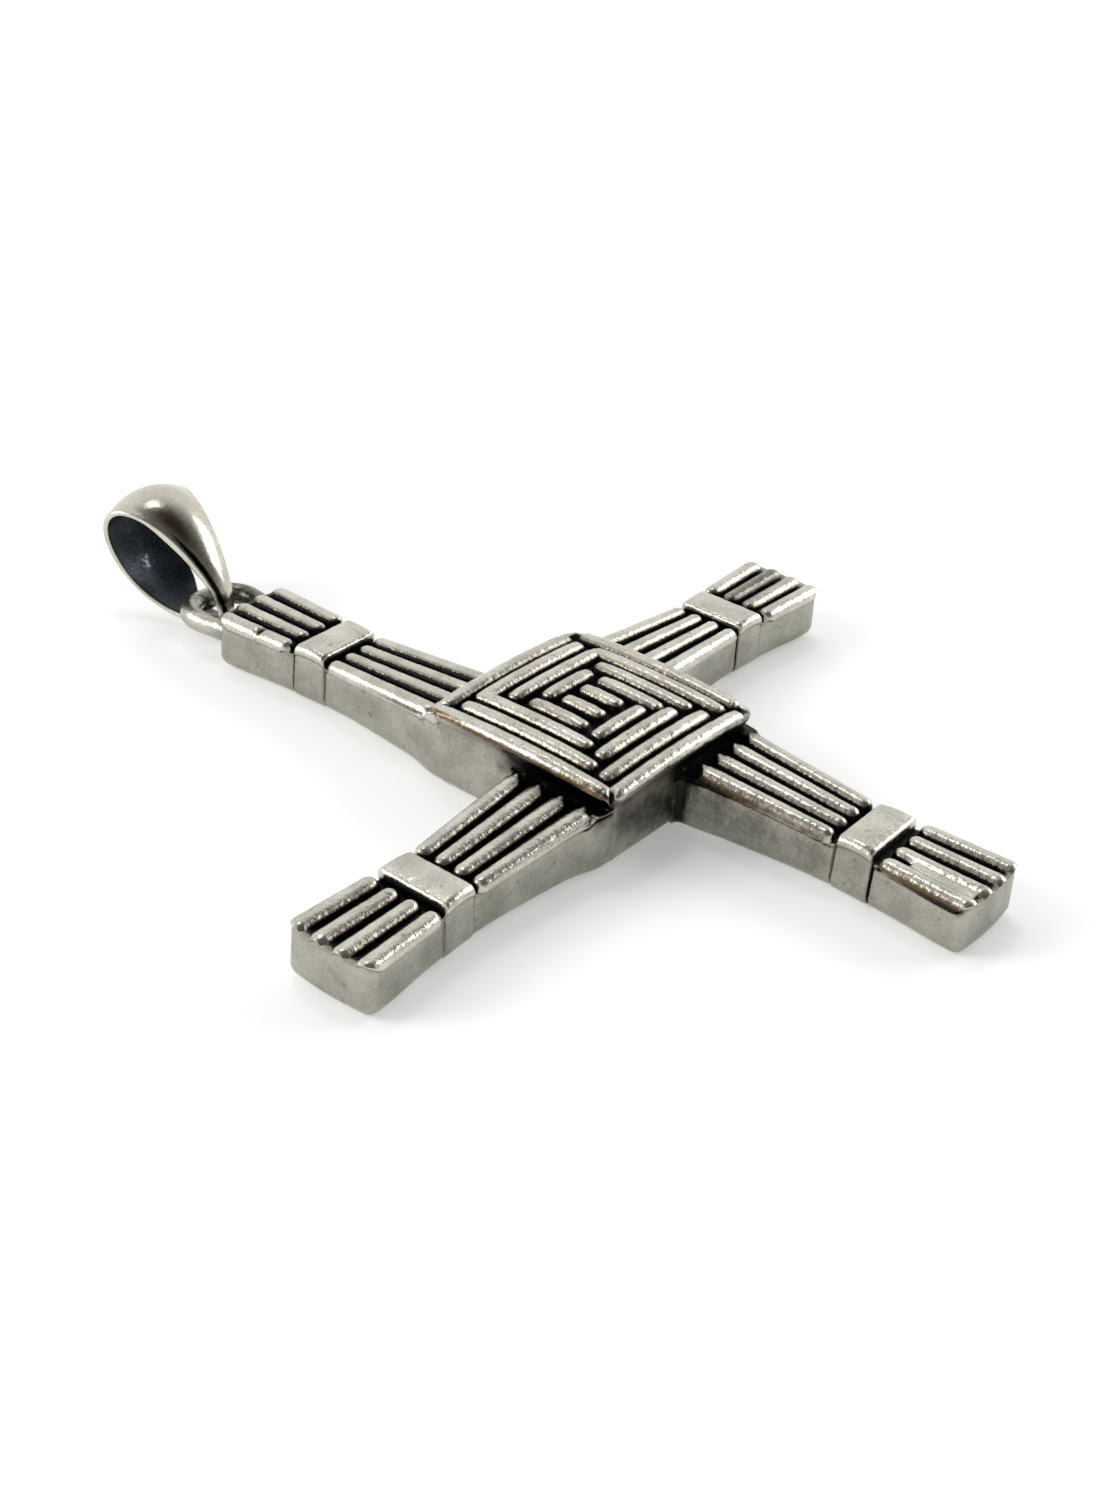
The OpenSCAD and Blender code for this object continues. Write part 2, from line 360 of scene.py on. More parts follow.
def even_normals(loop, reach=0.45):
    """Outward normals of a closed loop in plan, run anticlockwise. The heading along the loop
    is averaged over `reach` to both sides, so that notches and tight corners don't fold."""
    step = np.roll(loop, -1, 0) - np.roll(loop, 1, 0)
    heading = np.unwrap(np.arctan2(step[:, 1], step[:, 0]))
    length = np.hypot(*(np.roll(loop, -1, 0) - loop).T)
    at = np.concatenate([[0], np.cumsum(length)[:-1]])
    total = length.sum()
    turns = 2 * math.pi * np.array([-1, 0, 1]).repeat(len(loop))
    place = np.concatenate([at - total, at, at + total])
    headings = np.tile(heading, 3) + turns
    area = np.concatenate([[0], np.cumsum(np.diff(place) * (headings[1:] + headings[:-1]) / 2)])
    ahead, behind = np.interp(at + reach, place, area), np.interp(at - reach, place, area)
    mean = (ahead - behind) / (2 * reach)
    return np.stack([np.sin(mean), -np.cos(mean)], -1)


def cast_block(top, depth, overhang, lip, notch):
    """A closed cast block under a grid of top points. From the grid's border the skin follows
    the rows of the lip, runs down the drafted wall and turns under at the rounded bottom edge.
    Each row is the border moved inwards along its evened normals. Returns points, quads, the
    bottom cap and three masks: the groove depth with the dark notches down the wall, the painted
    shade under the lip and the side walls."""
    rows, cols = top.shape[:2]
    index = np.arange(rows * cols).reshape(rows, cols)
    border = np.concatenate([index[0, :-1], index[:-1, -1], index[-1, :0:-1], index[:0:-1, 0]])
    flat = top.reshape(-1, 3)
    edge = flat[border]
    normals = even_normals(edge[:, :2])
    z_top = edge[:, 2]
    inset_rows, z_rows, lip_shade_rows = [], [], []
    # dark is the painted shade of each row under the lip
    for share, more, drop, dark in lip:
        z = z_top - drop
        draft = WALL_DRAFT * np.maximum(z - BOTTOM_EDGE_R, 0)
        inset_rows.append(overhang * share + more + draft * share)
        z_rows.append(z)
        lip_shade_rows.append(dark)
    z_wall = z_rows[-1]
    for share in WALL_ROWS:
        z = z_wall + (BOTTOM_EDGE_R - z_wall) * share
        inset_rows.append(overhang + WALL_DRAFT * (z - BOTTOM_EDGE_R))
        z_rows.append(z)
        lip_shade_rows.append(0)
    for turn in np.linspace(0, math.pi / 2, 8):
        inset_rows.append(overhang + BOTTOM_EDGE_R * (1 - math.cos(turn)))
        z_rows.append(np.full(len(border), BOTTOM_EDGE_R * (1 - math.sin(turn))))
        lip_shade_rows.append(0)

    inset, z = np.array(inset_rows), np.array(z_rows)
    plan = edge[None, :, :2] - inset[..., None] * normals[None]
    wall = np.concatenate([plan, z[..., None]], -1)
    points = np.concatenate([flat, wall.reshape(-1, 3)])

    around = len(border)
    ring_ids = np.concatenate(
        [border[None], rows * cols + np.arange(len(wall) * around).reshape(len(wall), around)]
    )
    wall_quads = grid_quads(len(ring_ids), around, wrap_cols=True)[:, [0, 3, 2, 1]]
    quads = np.concatenate([grid_quads(rows, cols), ring_ids.ravel()[wall_quads]])
    below = len(wall) * around
    masks = {
        "groove": np.concatenate([depth.ravel(), np.tile(notch, len(wall))]),
        "lip": np.concatenate([np.zeros(len(flat)), np.repeat(lip_shade_rows, around)]),
        "wall": np.repeat([0.0, 1.0], [len(flat), below]),
    }
    return points, quads, ring_ids[-1][::-1], masks


def arm_half(s):
    """Half width of an arm: a smooth curve through the outline, with a proud tie band between
    two sharp notches and a corner arc at the end."""
    half = curve_through(OUTLINE_S, OUTLINE_HALF, s)
    on_band = smooth_step(BAND_FROM, BAND_FROM + BAND_SLOPE, s)
    on_band = on_band * smooth_step(BAND_TO, BAND_TO - BAND_SLOPE, s)
    first, last = (np.exp(-(((s - place) / NOTCH_W) ** 2)) for place in (BAND_FROM, BAND_TO))
    half = half + BAND_SWELL * on_band - NOTCH_D * (first + last)
    into_corner = np.clip(s - (ARM_REACH - END_CORNER_R), 0, END_CORNER_R)
    return half - END_CORNER_R + np.sqrt(END_CORNER_R**2 - into_corner**2)


def ridge_row(s):
    """Pitch, radius and crest of the ridges, by straight lines between their ends."""
    return [np.interp(s, RIDGE_S, values) for values in (RIDGE_PITCH, RIDGE_R, RIDGE_CREST)]


def arm_heights(x, s):
    """Height and groove depth share of an arm's face: the highest of the sloping groove
    floor, the eight worn rods, the beads at their inner tips, a fill at the root of the flush
    side and the pillow of the tie band. The depth share grows evenly from the ridges' crests
    down, and the outer flank of an outer ridge is no groove."""
    floor = np.interp(s, [LEAN_FROM, BAND_FROM], [ROOT_H, ARM_H]) - GROOVE_D
    floor = floor + END_FILL * smooth_step(ARM_REACH - END_RISE, ARM_REACH - 0.1, s)
    height = floor.copy()
    for first, last in ((RIDGE_S[0], RIDGE_S[1]), (RIDGE_S[2], RIDGE_S[3] + END_RUN)):
        near = np.clip(s, first, last)
        pitch, r, crest = ridge_row(near)
        for place in RIDGE_PLACES:
            distance = np.hypot(x - place * pitch, s - near)
            height = np.maximum(height, worn_rod(distance, r, crest))
    for place in RIDGE_PLACES:
        distance = np.hypot(x - place * RIDGE_PITCH[0], s - (RIDGE_S[0] - TIP_BEAD_IN))
        height = np.maximum(height, worn_rod(distance, TIP_BEAD_R, ROOT_H + TIP_BEAD_UP))
    pitch, _, crest = ridge_row(s)
    flush = smooth_step(*ROOT_FILL_X, x) * smooth_step(*ROOT_FILL_S, s)
    height = np.maximum(height, floor + ROOT_FILL * flush)
    middle = (BAND_FROM + BAND_TO) / 2
    pillow = BAND_H - BAND_BACK_R + np.sqrt(BAND_BACK_R**2 - np.clip(s - middle, -1, 1) ** 2)
    to_edge = np.minimum(s - BAND_FROM, BAND_TO - s) - BAND_SETBACK
    short = np.clip(BAND_EDGE_R - to_edge, 0, BAND_EDGE_R)
    pillow = pillow - BAND_EDGE_R + np.sqrt(BAND_EDGE_R**2 - short**2)
    to_side = np.clip(BAND_SHOULDER_R - (arm_half(s) - np.abs(x)), 0, BAND_SHOULDER_R)
    pillow = pillow - BAND_SHOULDER_R + np.sqrt(BAND_SHOULDER_R**2 - to_side**2)
    on_band = to_edge > 0
    depth = np.clip(OXIDE_CLIMB * (crest - height) / GROOVE_D, 0, 1)
    height = np.where(on_band, np.maximum(height, pillow), height)
    depth = np.where(on_band, 0, depth)
    on_flush_side = FLUSH_SHARE * smooth_step(*FLUSH_SIDE, x)
    clear_of_root = np.maximum(smooth_step(*FLANK_FROM, s), on_flush_side)
    flank = smooth_step(*OUTER_FLANK, np.abs(x) - OUTER_RIDGE * pitch) * clear_of_root
    at_end = smooth_step(ARM_REACH - 0.35, ARM_REACH - 0.05, s)
    depth = depth * (1 - flank) * (1 - END_CLEAN * at_end)
    return height + ARM_RIPPLE * hand_ripple(x * 1.3, s), depth


def north_flaws(x, s, height, depth):
    """A short nick across the west ridge of the north arm: a narrow bell-shaped dip. The oxide
    climbs higher here than on the other arms."""
    past = (s - NICK_S - NICK_SLANT * (x + OUTER_RIDGE)) / NICK_W
    dip = np.exp(-(past**2)) * smooth_step(*NICK_SIDE, x)
    depth = np.maximum(np.clip(NORTH_OXIDE * depth, 0, 1), NICK_DARK * dip)
    return height - NICK_D * dip, depth


def east_flaws(x, s, height, depth):
    """The east arm's outer grooves are only thinly oxidised, so they glitter."""
    return height, depth * (1 - THIN_OXIDE * smooth_step(*THIN_OXIDE_RANGE, s))


def south_flaws(x, s, height, depth):
    """The casting filled the outer groove between the two western ridges of the south arm, up
    to a little below their crests. The oxide is a little weaker than on the north arm."""
    pitch, _, crest = ridge_row(s)
    between = smooth_step(0.35, 0.5, x / pitch) * smooth_step(1.65, 1.5, x / pitch)
    filled = between * smooth_step(*FILLED_RISE, s) * smooth_step(*FILLED_FALL, s)
    fill = crest - FILLED_DEPTH + FILLED_RIPPLE * hand_ripple(2 * x, 1.5 * s)
    height = np.where(filled > 0.5, np.maximum(height, fill), height)
    return height, SOUTH_OXIDE * depth * (1 - filled)


def west_flaws(x, s, height, depth):
    """The oxide on the west arm is worn back further than on the others."""
    return height, WEST_OXIDE * depth


def arm_rows():
    """Stations along an arm, close together where a ridge, the band or the arm ends."""
    quarter = np.linspace(0, math.pi / 2, 8)
    tips = [
        RIDGE_S[0] - RIDGE_R[0] * np.cos(quarter),
        RIDGE_S[1] + RIDGE_R[1] * np.sin(quarter),
        RIDGE_S[2] - RIDGE_R[2] * np.cos(quarter),
        RIDGE_S[3] + RIDGE_R[3] * np.sin(quarter),
    ]
    notch = np.array([-0.12, -0.08, -0.05, -0.02, 0.0, 0.02, 0.03, 0.045, 0.07, 0.11, 0.17])
    corner = ARM_REACH - END_CORNER_R * (1 - np.sin(np.linspace(0, math.pi / 2, 9)))
    return np.unique(np.round(np.concatenate([
        np.linspace(ARM_START, 4.3, 4),
        np.linspace(SQUARE_HALF, SQUARE_HALF + CORNER_FILLET, 9),
        *tips,
        np.linspace(RIDGE_S[0], RIDGE_S[1], 22),
        BAND_FROM + notch,
        np.linspace(BAND_FROM + 0.2, BAND_TO - 0.2, 9),
        BAND_TO - notch,
        np.linspace(RIDGE_S[2], RIDGE_S[3], 15),
        corner,
    ]), 3))


def root_fillet(s, r):
    """How far a quarter-round fillet stands out of the wall at s: r - sqrt(r^2 - u^2), where u
    grows from 0 to r towards the square."""
    u = np.clip(r - (s - SQUARE_HALF), 0, r)
    return r - np.sqrt(r**2 - u**2)


def arm_block(flaws, notch_dark):
    """One arm in its own frame, with the dark of its inner and outer notch. The grid's columns
    follow the ridges: each ridge is crossed at r sin(turn), so that its flanks stay crisp, and
    the border column is the wall's edge or the outer ridge's flank, whichever is further out.
    The end bows outwards by a parabola."""
    s = arm_rows()
    pitch, r, _ = ridge_row(s)
    across = np.sin(np.linspace(-math.pi / 2, math.pi / 2, 15))
    inner = (RIDGE_PLACES[None, :, None] * pitch[:, None, None]) + r[:, None, None] * across
    inner = inner.reshape(len(s), -1)
    first, last = np.clip(s, *RIDGE_S[:2]), np.clip(s, *RIDGE_S[2:])
    near = np.where(s < (BAND_FROM + BAND_TO) / 2, first, last)
    past = np.clip(np.abs(s - near) / r, 0, 1)
    flank = OUTER_RIDGE * pitch + r * np.sqrt(1 - past**2)
    half = arm_half(s)
    edge = np.where(past < 1, np.maximum(half, flank), half)
    fit = np.minimum(1, (edge - COLUMN_GAP) / np.abs(inner).max(1))
    west = edge + FLUSH_FLARE * smooth_step(FLARE_FROM, SQUARE_HALF - 0.1, s)
    east = edge + root_fillet(s, CORNER_FILLET)
    x = np.concatenate([-west[:, None], inner * fit[:, None], east[:, None]], 1)
    at_end = smooth_step(ARM_REACH - END_RISE, ARM_REACH, s)[:, None]
    y = s[:, None] + END_BULGE * (1 - (x / OUTLINE_HALF[-1]) ** 2) * at_end
    along = np.broadcast_to(s[:, None], x.shape)
    height, depth = flaws(x, along, *arm_heights(x, along))
    top = np.stack([x, y, height], -1)
    overhang = np.maximum(edge - half, 0)
    to_notch = (s[:, None] - [BAND_FROM, BAND_TO]) / NOTCH_DARK_W
    dark = (np.array(notch_dark) * np.exp(-(to_notch**2))).sum(1)
    ends = np.zeros(x.shape[1] - 1)

    def along_border(values):
        """Values by station, laid round the grid's border, with 0 along both ends."""
        return np.concatenate([ends, values[:-1], ends, values[:0:-1]])

    return cast_block(top, depth, along_border(overhang), ARM_LIP, along_border(dark))


def place_arm(points, turn):
    """The arm leans outwards about the point where it leaves the square, moves beside the
    middle line and turns by quarters round the square: 0 north, 1 west, 2 south, 3 east."""
    lean = Matrix.Rotation(ARM_LEAN, 3, "Z")
    placed = (points - [0, LEAN_FROM, 0]) @ np.array(lean).T + [-ARM_OFFSET, LEAN_FROM, 0]
    return placed @ np.array(Matrix.Rotation(turn * math.pi / 2, 3, "Z")).T


def dome_crest(x, y):
    """Height of the sphere that the bars' crests follow."""
    return SQUARE_H - DOME_R + np.sqrt(DOME_R**2 - x**2 - y**2)


def bar_lines(centres, reach):
    """Grid lines across bars: r sin(turn) about each centre, and even lines in the gaps."""
    across = BAR_R * np.sin(np.linspace(-math.pi / 2, math.pi / 2, 11))
    lines = (np.asarray(centres)[:, None] + across).ravel()
    lines = np.concatenate([lines, np.arange(-1.1, 1.11, 0.11), [-reach, reach]])
    lines = np.unique(np.round(np.clip(lines, -reach, reach), 3))
    keep = np.concatenate([[True], np.diff(lines) > 0.012])
    keep[-1] = True
    return lines[keep]


def square_heights(x, y):
    """Height and groove depth share of the woven face: the highest of the groove floor, which
    is the dome let down but fills up towards the corners, and the worn rods of the bars, each
    bent along the dome and a little slimmer and lower at its tips. A nick parts the two outer
    bars that meet at the south-west corner. The outer flanks of the outermost bars are no
    groove."""
    to_corner = smooth_step(*CORNER_FILL_RANGE, np.abs(x) + np.abs(y))
    height = dome_crest(x, y) - WEAVE_D + CORNER_FILL * to_corner
    for bars, across, along in ((UPRIGHT_BARS, x, y), (LEVEL_BARS, y, x)):
        for i, (axis, low, high) in enumerate(bars):
            near = np.clip(along, low + TIP_LENGTH, high - TIP_LENGTH)
            to_tip = smooth_step(0, TIP_TAPER, np.minimum(near - low, high - near) - TIP_LENGTH)
            inner = 0.0 if abs(axis) == OUTER_BAR else 1.0
            slim = BAR_SLIM - BAR_SLIM * math.sin(2.4 * i + 1) + BAR_SLIM * (1 - to_tip)
            r = BAR_R * (1 - inner * slim)
            crest = dome_crest(axis, near) - BAR_TIP_DROP * (1 - to_tip)
            crest = crest + BAR_UNEVEN * math.sin(1.7 * i)
            past = np.abs(along - near) / TIP_LENGTH * r
            distance = (np.abs(across - axis) ** TIP_POWER + past**TIP_POWER) ** (1 / TIP_POWER)
            height = np.maximum(height, worn_rod(distance, r, crest))
    depth = np.clip((dome_crest(x, y) - height) / WEAVE_D, 0, 1)
    depth = depth * smooth_step(*BAR_FLANK, np.maximum(np.abs(x), np.abs(y)) - OUTER_BAR)
    nick = np.exp(-(((x - y) / CORNER_NICK_W) ** 2)) * smooth_step(*CORNER_NICK_RANGE, x + y)
    height = height + SQUARE_RIPPLE * hand_ripple(x, y) - CORNER_NICK_D * nick
    return height, np.maximum(depth, CORNER_NICK_DARK * nick)


def square_block():
    """The woven square. The grid's corners are drawn in to an arc: a point beyond the arc's
    centre on both axes keeps its larger reach as the radius."""
    reach = OUTER_BAR + BAR_R - 0.01
    x, y = np.meshgrid(*(bar_lines(bars[:, 0], reach) for bars in (UPRIGHT_BARS, LEVEL_BARS)))
    centre = reach - SQUARE_CORNER_R
    past_x, past_y = np.clip(np.abs(x) - centre, 0, None), np.clip(np.abs(y) - centre, 0, None)
    length = np.hypot(past_x, past_y)
    fit = np.where(length > 0, np.maximum(past_x, past_y) / np.maximum(length, 1e-9), 1)
    x = np.sign(x) * (np.minimum(np.abs(x), centre) + past_x * fit)
    y = np.sign(y) * (np.minimum(np.abs(y), centre) + past_y * fit)
    height, depth = square_heights(x, y)
    top = np.stack([x, y, height], -1)
    around = 2 * (x.shape[0] + x.shape[1] - 2)
    overhang = np.full(around, reach - SQUARE_HALF)
    return cast_block(top, depth, overhang, SQUARE_LIP, np.zeros(around))


def tube(path, radii, steps=28):
    """A closed tube in the plane z = constant: an oval carried square to the path, with a cap
    at both ends."""
    step = np.gradient(path, axis=0)
    side = np.stack([step[:, 1], -step[:, 0]], -1) / np.hypot(*step.T)[:, None]
    turn = np.linspace(0, 2 * math.pi, steps, endpoint=False)
    wide = radii[:, 0, None] * np.cos(turn)
    high = radii[:, 1, None] * np.sin(turn)
    plan = path[:, None] + wide[..., None] * side[:, None]
    points = np.concatenate([plan, high[..., None]], -1).reshape(-1, 3)
    quads = grid_quads(len(path), steps, wrap_cols=True)
    ends = [np.arange(steps)[::-1], np.arange(steps) + (len(path) - 1) * steps]
    return points, quads, ends


def ring_shape():
    """The ring: up the west leg, round two bends and the outer bar, and down the east leg. The
    legs draw together towards the arm, and the wire swells where it joins it."""
    turn = np.linspace(math.pi, math.pi / 2, 13)
    bend = np.stack([np.cos(turn), np.sin(turn)], -1) * RING_BEND_R
    straight = RING_HALF - RING_BEND_R
    bend_y = RING_REACH - RING_BEND_R
    west_leg = np.linspace([-RING_HALF, RING_FOOT], [-RING_HALF, bend_y], 16)[:-1]
    west_bend = bend + [-straight, bend_y]
    half = np.concatenate([west_leg, west_bend])
    half[:, 0] += LEG_DRAW_IN * smooth_step(*LEG_DRAW_RANGE, half[:, 1])
    path = np.concatenate([half, (half * [-1, 1])[::-1]])
    solder = np.where(path[:, 0] > 0, *LEG_SWELL)
    swell = 1 + solder * smooth_step(*LEG_SWELL_RANGE, path[:, 1])
    radii = np.stack([RING_WIRE_R * swell, RING_WIRE_R * swell * WIRE_OVAL], -1)
    points, quads, ends = tube(path, radii)
    return points + [RING_X, 0, RING_H], quads[:, ::-1], [end[::-1] for end in ends]


def solder_drop(around=36, rows=13):
    """The solder between the ring's legs at the arm's end: an oval drop, as a grid of turns
    about X by slices from west to east, whose ends are caps."""
    slide = np.linspace(-0.5 * math.pi, 0.5 * math.pi, rows + 2)[1:-1, None]
    turn = np.linspace(0, 2 * math.pi, around, endpoint=False)
    reach = np.cos(slide)
    drop = np.stack([
        np.broadcast_to(SOLDER_SIZE[0] * np.sin(slide), (rows, around)),
        SOLDER_SIZE[1] * reach * np.cos(turn),
        SOLDER_SIZE[2] * reach * np.sin(turn),
    ], -1)
    quads = grid_quads(rows, around, wrap_cols=True)
    ends = [np.arange(around)[::-1], np.arange(around) + (rows - 1) * around]
    return drop.reshape(-1, 3) + [RING_X, SOLDER_AT, RING_H], quads, ends


def teardrop(length, half, turn):
    """The bail's loop from the side: how far along, how high. The height is the half height
    times the sine of the turn, drawn in towards the foot, plus a lean towards the top."""
    along = length / 2 * (1 - np.cos(turn))
    fullness = FOOT_ROUND + (1 - FOOT_ROUND) * np.abs(np.sin(turn / 2)) ** FOOT_TAPER
    return np.stack([along, half * np.sin(turn) * fullness + TOP_LEAN * (along / length) ** 2], -1)


def bail_skin(length, half, flatten, hem, turn, v):
    """One skin of the bail: the teardrop swept across its width, with both rims let in along
    the loop's inward normal by the crown times v squared. `flatten` takes some of that back on
    the inner skin, so that the wall thins towards its rims, and `hem` turns the upper half's
    west rim inwards low down. The lower half bellies out a little to the east."""
    p = teardrop(length, half, turn)
    d = teardrop(length, half, turn + 0.002) - teardrop(length, half, turn - 0.002)
    inward = np.stack([d[..., 1], -d[..., 0]], -1) / np.linalg.norm(d, axis=-1, keepdims=True)
    share = p[..., 0] / length
    width = BAIL_FOOT_W + (BAIL_TOP_W - BAIL_FOOT_W) * share
    belly = BAIL_BELLY * smooth_step(*BELLY_RISE, share) * smooth_step(*BELLY_FALL, share)
    width = width + 2 * belly * (np.sin(turn) < 0) * (v > 0)
    drop = (BAIL_CROWN * (CROWN_AT_FOOT + (1 - CROWN_AT_FOOT) * share) - flatten) * v**2
    low = smooth_step(*HEM_RISE, share) * smooth_step(*HEM_FALL, share)
    drop = drop + hem * low * v**2 * (v < 0) * (np.sin(turn) > 0)
    q = p + inward * drop[..., None]
    return np.stack([v * width / 2, q[..., 0], q[..., 1]], -1), width


def oval_patch(share, v, at, reach):
    """A mark on the bail: the bell curve exp(-(a^2 + b^2)), where a and b are the distances from
    its middle along the loop and across it, each over its reach."""
    return np.exp(-(((share - at[0]) / reach[0]) ** 2) - ((v - at[1]) / reach[1]) ** 2)


def bail_shape(around=160, across=18, rim=6):
    """The bail: outer skin, a half-round rim, inner skin and the other rim, joined into one
    closed section that is carried once round the teardrop. Its masks are the inner skin, a
    cluster of glints on it, a painted dark reflection beside the upper west rim that widens
    towards the foot, and a painted brown reflection between that line and the middle."""
    turn = np.linspace(0, 2 * math.pi, around, endpoint=False)[:, None]
    v = np.linspace(-1, 1, across)[None]
    _, width = bail_skin(BAIL_L, BAIL_HALF, 0, 0, turn, v)
    v = v * (1 - BAIL_RIM / width)
    outer, _ = bail_skin(BAIL_L, BAIL_HALF, 0, 0, turn, v)
    inner_size = (BAIL_L - 2 * BAIL_WALL, BAIL_HALF - BAIL_WALL, BAIL_WALL - BAIL_RIM, BAIL_HEM)
    inner, _ = bail_skin(*inner_size, turn, v)
    inner = inner + [0, BAIL_WALL, 0]
    lap = np.linspace(0, math.pi, rim + 2)[1:-1][None, :, None]

    def half_round(start, end, side):
        """A half circle from `start` to `end` that bows out to one side."""
        middle, reach = (start + end) / 2, (start - end) / 2
        out = np.array([side, 0, 0]) * BAIL_RIM / 2
        return middle[:, None] + reach[:, None] * np.cos(lap) + out * np.sin(lap)

    east = half_round(outer[:, -1], inner[:, -1], 1)
    west = half_round(inner[:, 0], outer[:, 0], -1)
    section = np.concatenate([outer, east, inner[:, ::-1], west], 1)
    c, s = math.cos(BAIL_TILT), math.sin(BAIL_TILT)
    tilted = np.stack([
        section[..., 0],
        c * section[..., 1] - s * section[..., 2],
        s * section[..., 1] + c * section[..., 2],
    ], -1)
    points = tilted + [BAIL_X, BAIL_FOOT_Y, TABLE_GAP - tilted[..., 2].min()]

    names = ("inside", "glints", "rim_reflection", "brown_reflection")
    masks = {name: np.zeros(section.shape[:2]) for name in names}
    outside, inside = slice(0, across), slice(across + rim, across + rim + across)
    masks["inside"][:, inside] = 1
    share, above = (1 - np.cos(turn)) / 2, np.sin(turn) > 0
    cluster = oval_patch(share, v, GLINTS_AT, GLINTS_REACH) * ~above
    masks["glints"][:, inside] = cluster[:, ::-1]
    # A painted dark reflection beside the upper west rim
    low = smooth_step(*RIM_LINE_RANGE, share) * above
    from_line = (v + 1) * width / 2 - RIM_LINE_AT - RIM_LINE_SHIFT * low
    line = np.exp(-((from_line / (RIM_LINE_W + RIM_LINE_SPREAD * low)) ** 2))
    masks["rim_reflection"][:, outside] = line * low
    # A painted brown reflection on the upper outer skin
    masks["brown_reflection"][:, outside] = oval_patch(share, v, BROWN_REFLECTION_AT, BROWN_REFLECTION_REACH) * above
    quads = grid_quads(*section.shape[:2], wrap_rows=True, wrap_cols=True)
    return points.reshape(-1, 3), quads, {name: m.ravel() for name, m in masks.items()}


def fuse(name, solids):
    """One skin from closed solids that overlap."""
    first = solids[0]
    for solid in solids[1:]:
        union = first.modifiers.new("union", "BOOLEAN")
        union.operation = "UNION"
        union.solver = "MANIFOLD"
        union.object = solid
    depsgraph = bpy.context.evaluated_depsgraph_get()
    mesh = bpy.data.meshes.new_from_object(first.evaluated_get(depsgraph))
    mesh.name = name
    for solid in solids:
        bpy.data.objects.remove(solid)
    heal_seams(mesh)
    return mesh


def heal_seams(mesh):
    """The union leaves the points along its seams without masks. Those points are found by
    the mask `cast`, which is 1 everywhere else, and take the mean of their known neighbours."""
    count = len(mesh.vertices)
    ends = np.empty(2 * len(mesh.edges), np.int32)
    mesh.edges.foreach_get("vertices", ends)
    ends = ends.reshape(-1, 2)
    ends = np.concatenate([ends, ends[:, ::-1]])
    known = read_points(mesh, "cast") > 0.5
    ends = ends[known[ends[:, 1]] & ~known[ends[:, 0]]]
    neighbours = np.bincount(ends[:, 0], minlength=count)
    for mask in ("groove", "stain_and_shade", "warm", "wall"):
        values = read_points(mesh, mask)
        total = np.bincount(ends[:, 0], weights=values[ends[:, 1]], minlength=count)
        values = np.where(neighbours > 0, total / np.maximum(neighbours, 1), values)
        mesh.attributes[mask].data.foreach_set("value", values.astype(np.float32))


def read_points(mesh, mask):
    """A mask's value at each point of a mesh."""
    values = np.empty(len(mesh.vertices), np.float32)
    mesh.attributes[mask].data.foreach_get("value", values)
    return values


def streaks(points, table):
    """Stain, and in the black streaks also painted shade: the strongest of a few soft streaks.
    Each is the bell curve exp(-(d / radius)^2) of the distance to a straight line between two
    points in space."""
    start, run = table[:, :3], table[:, 3:6] - table[:, :3]
    gap = points[:, None] - start[None]
    share = np.clip((gap * run).sum(-1) / np.maximum((run**2).sum(-1), 1e-9), 0, 1)
    distance = np.linalg.norm(gap - share[..., None] * run, axis=-1)
    return (table[:, 7] * np.exp(-((distance / table[:, 6]) ** 2))).max(1)


def cast_object(name, points, quads, caps, masks):
    """One cast solid, not yet fused. The painted shade under the lip is dark where the black
    streaks are and only faint elsewhere."""
    stain_and_shade, warm = streaks(points, BLACK_STREAKS), streaks(points, WARM_STREAKS)
    # The painted shade under the lip, stronger where the streaks are, joins the groove mask and
    # darkens like the oxide
    lip = masks.pop("lip") * np.clip(LIP_FAINT + stain_and_shade + LIP_WARM * warm, 0, 1)
    masks["groove"] = np.maximum(masks["groove"], lip)
    masks = {**masks, "stain_and_shade": stain_and_shade, "warm": warm, "cast": np.ones(len(points))}
    return to_object(name, to_mesh(name, points, quads, caps, **masks))


# The cast cross: the square, four arms, the ring and its solder, fused into one skin. The arms
# are numbered by quarter turns, and the ring's skin is halfway between a crest's and a wall's
points, quads, cap, masks = square_block()
solids = [cast_object("square", points, quads, [cap], masks)]
arm_flaws = (north_flaws, west_flaws, south_flaws, east_flaws)
notch_darks = ((0.3, 0.6), (0.25, 0.1), (0.35, 0.65), (0.9, 0.5))
for turn, (flaws, notch_dark) in enumerate(zip(arm_flaws, notch_darks)):
    points, quads, cap, masks = arm_block(flaws, notch_dark)
    solids.append(cast_object("arm", place_arm(points, turn), quads, [cap], masks))
for name, shape in (("ring", ring_shape), ("solder", solder_drop)):
    points, quads, ends = shape()
    plain = np.zeros(len(points))
    ring_masks = {"groove": plain, "lip": plain, "wall": plain + 0.5}
    solids.append(cast_object(name, points, quads, ends, ring_masks))
cross = to_object("cast_cross", fuse("cast_cross", solids))
cross.data.shade_smooth()
cross.data.set_sharp_from_angle(angle=SHARP_FROM)
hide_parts("cross")
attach(cross, "cross")

# The bail, which swings in the ring
points, quads, masks = bail_shape()
bail = to_object("swinging_bail", to_mesh("swinging_bail", points, quads, **masks))
bail.data.shade_smooth()
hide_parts("bail")
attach(bail, "bail")


def add_node(tree, kind, inputs=None, **settings):
    """A node with its settings and inputs. An input is a value or the socket that feeds it."""
    node = tree.nodes.new(kind)
    for name, value in settings.items():
        setattr(node, name, value)
    for name, value in (inputs or {}).items():
        if isinstance(value, bpy.types.NodeSocket):
            tree.links.new(value, node.inputs[name])
        else:
            node.inputs[name].default_value = value
    return node


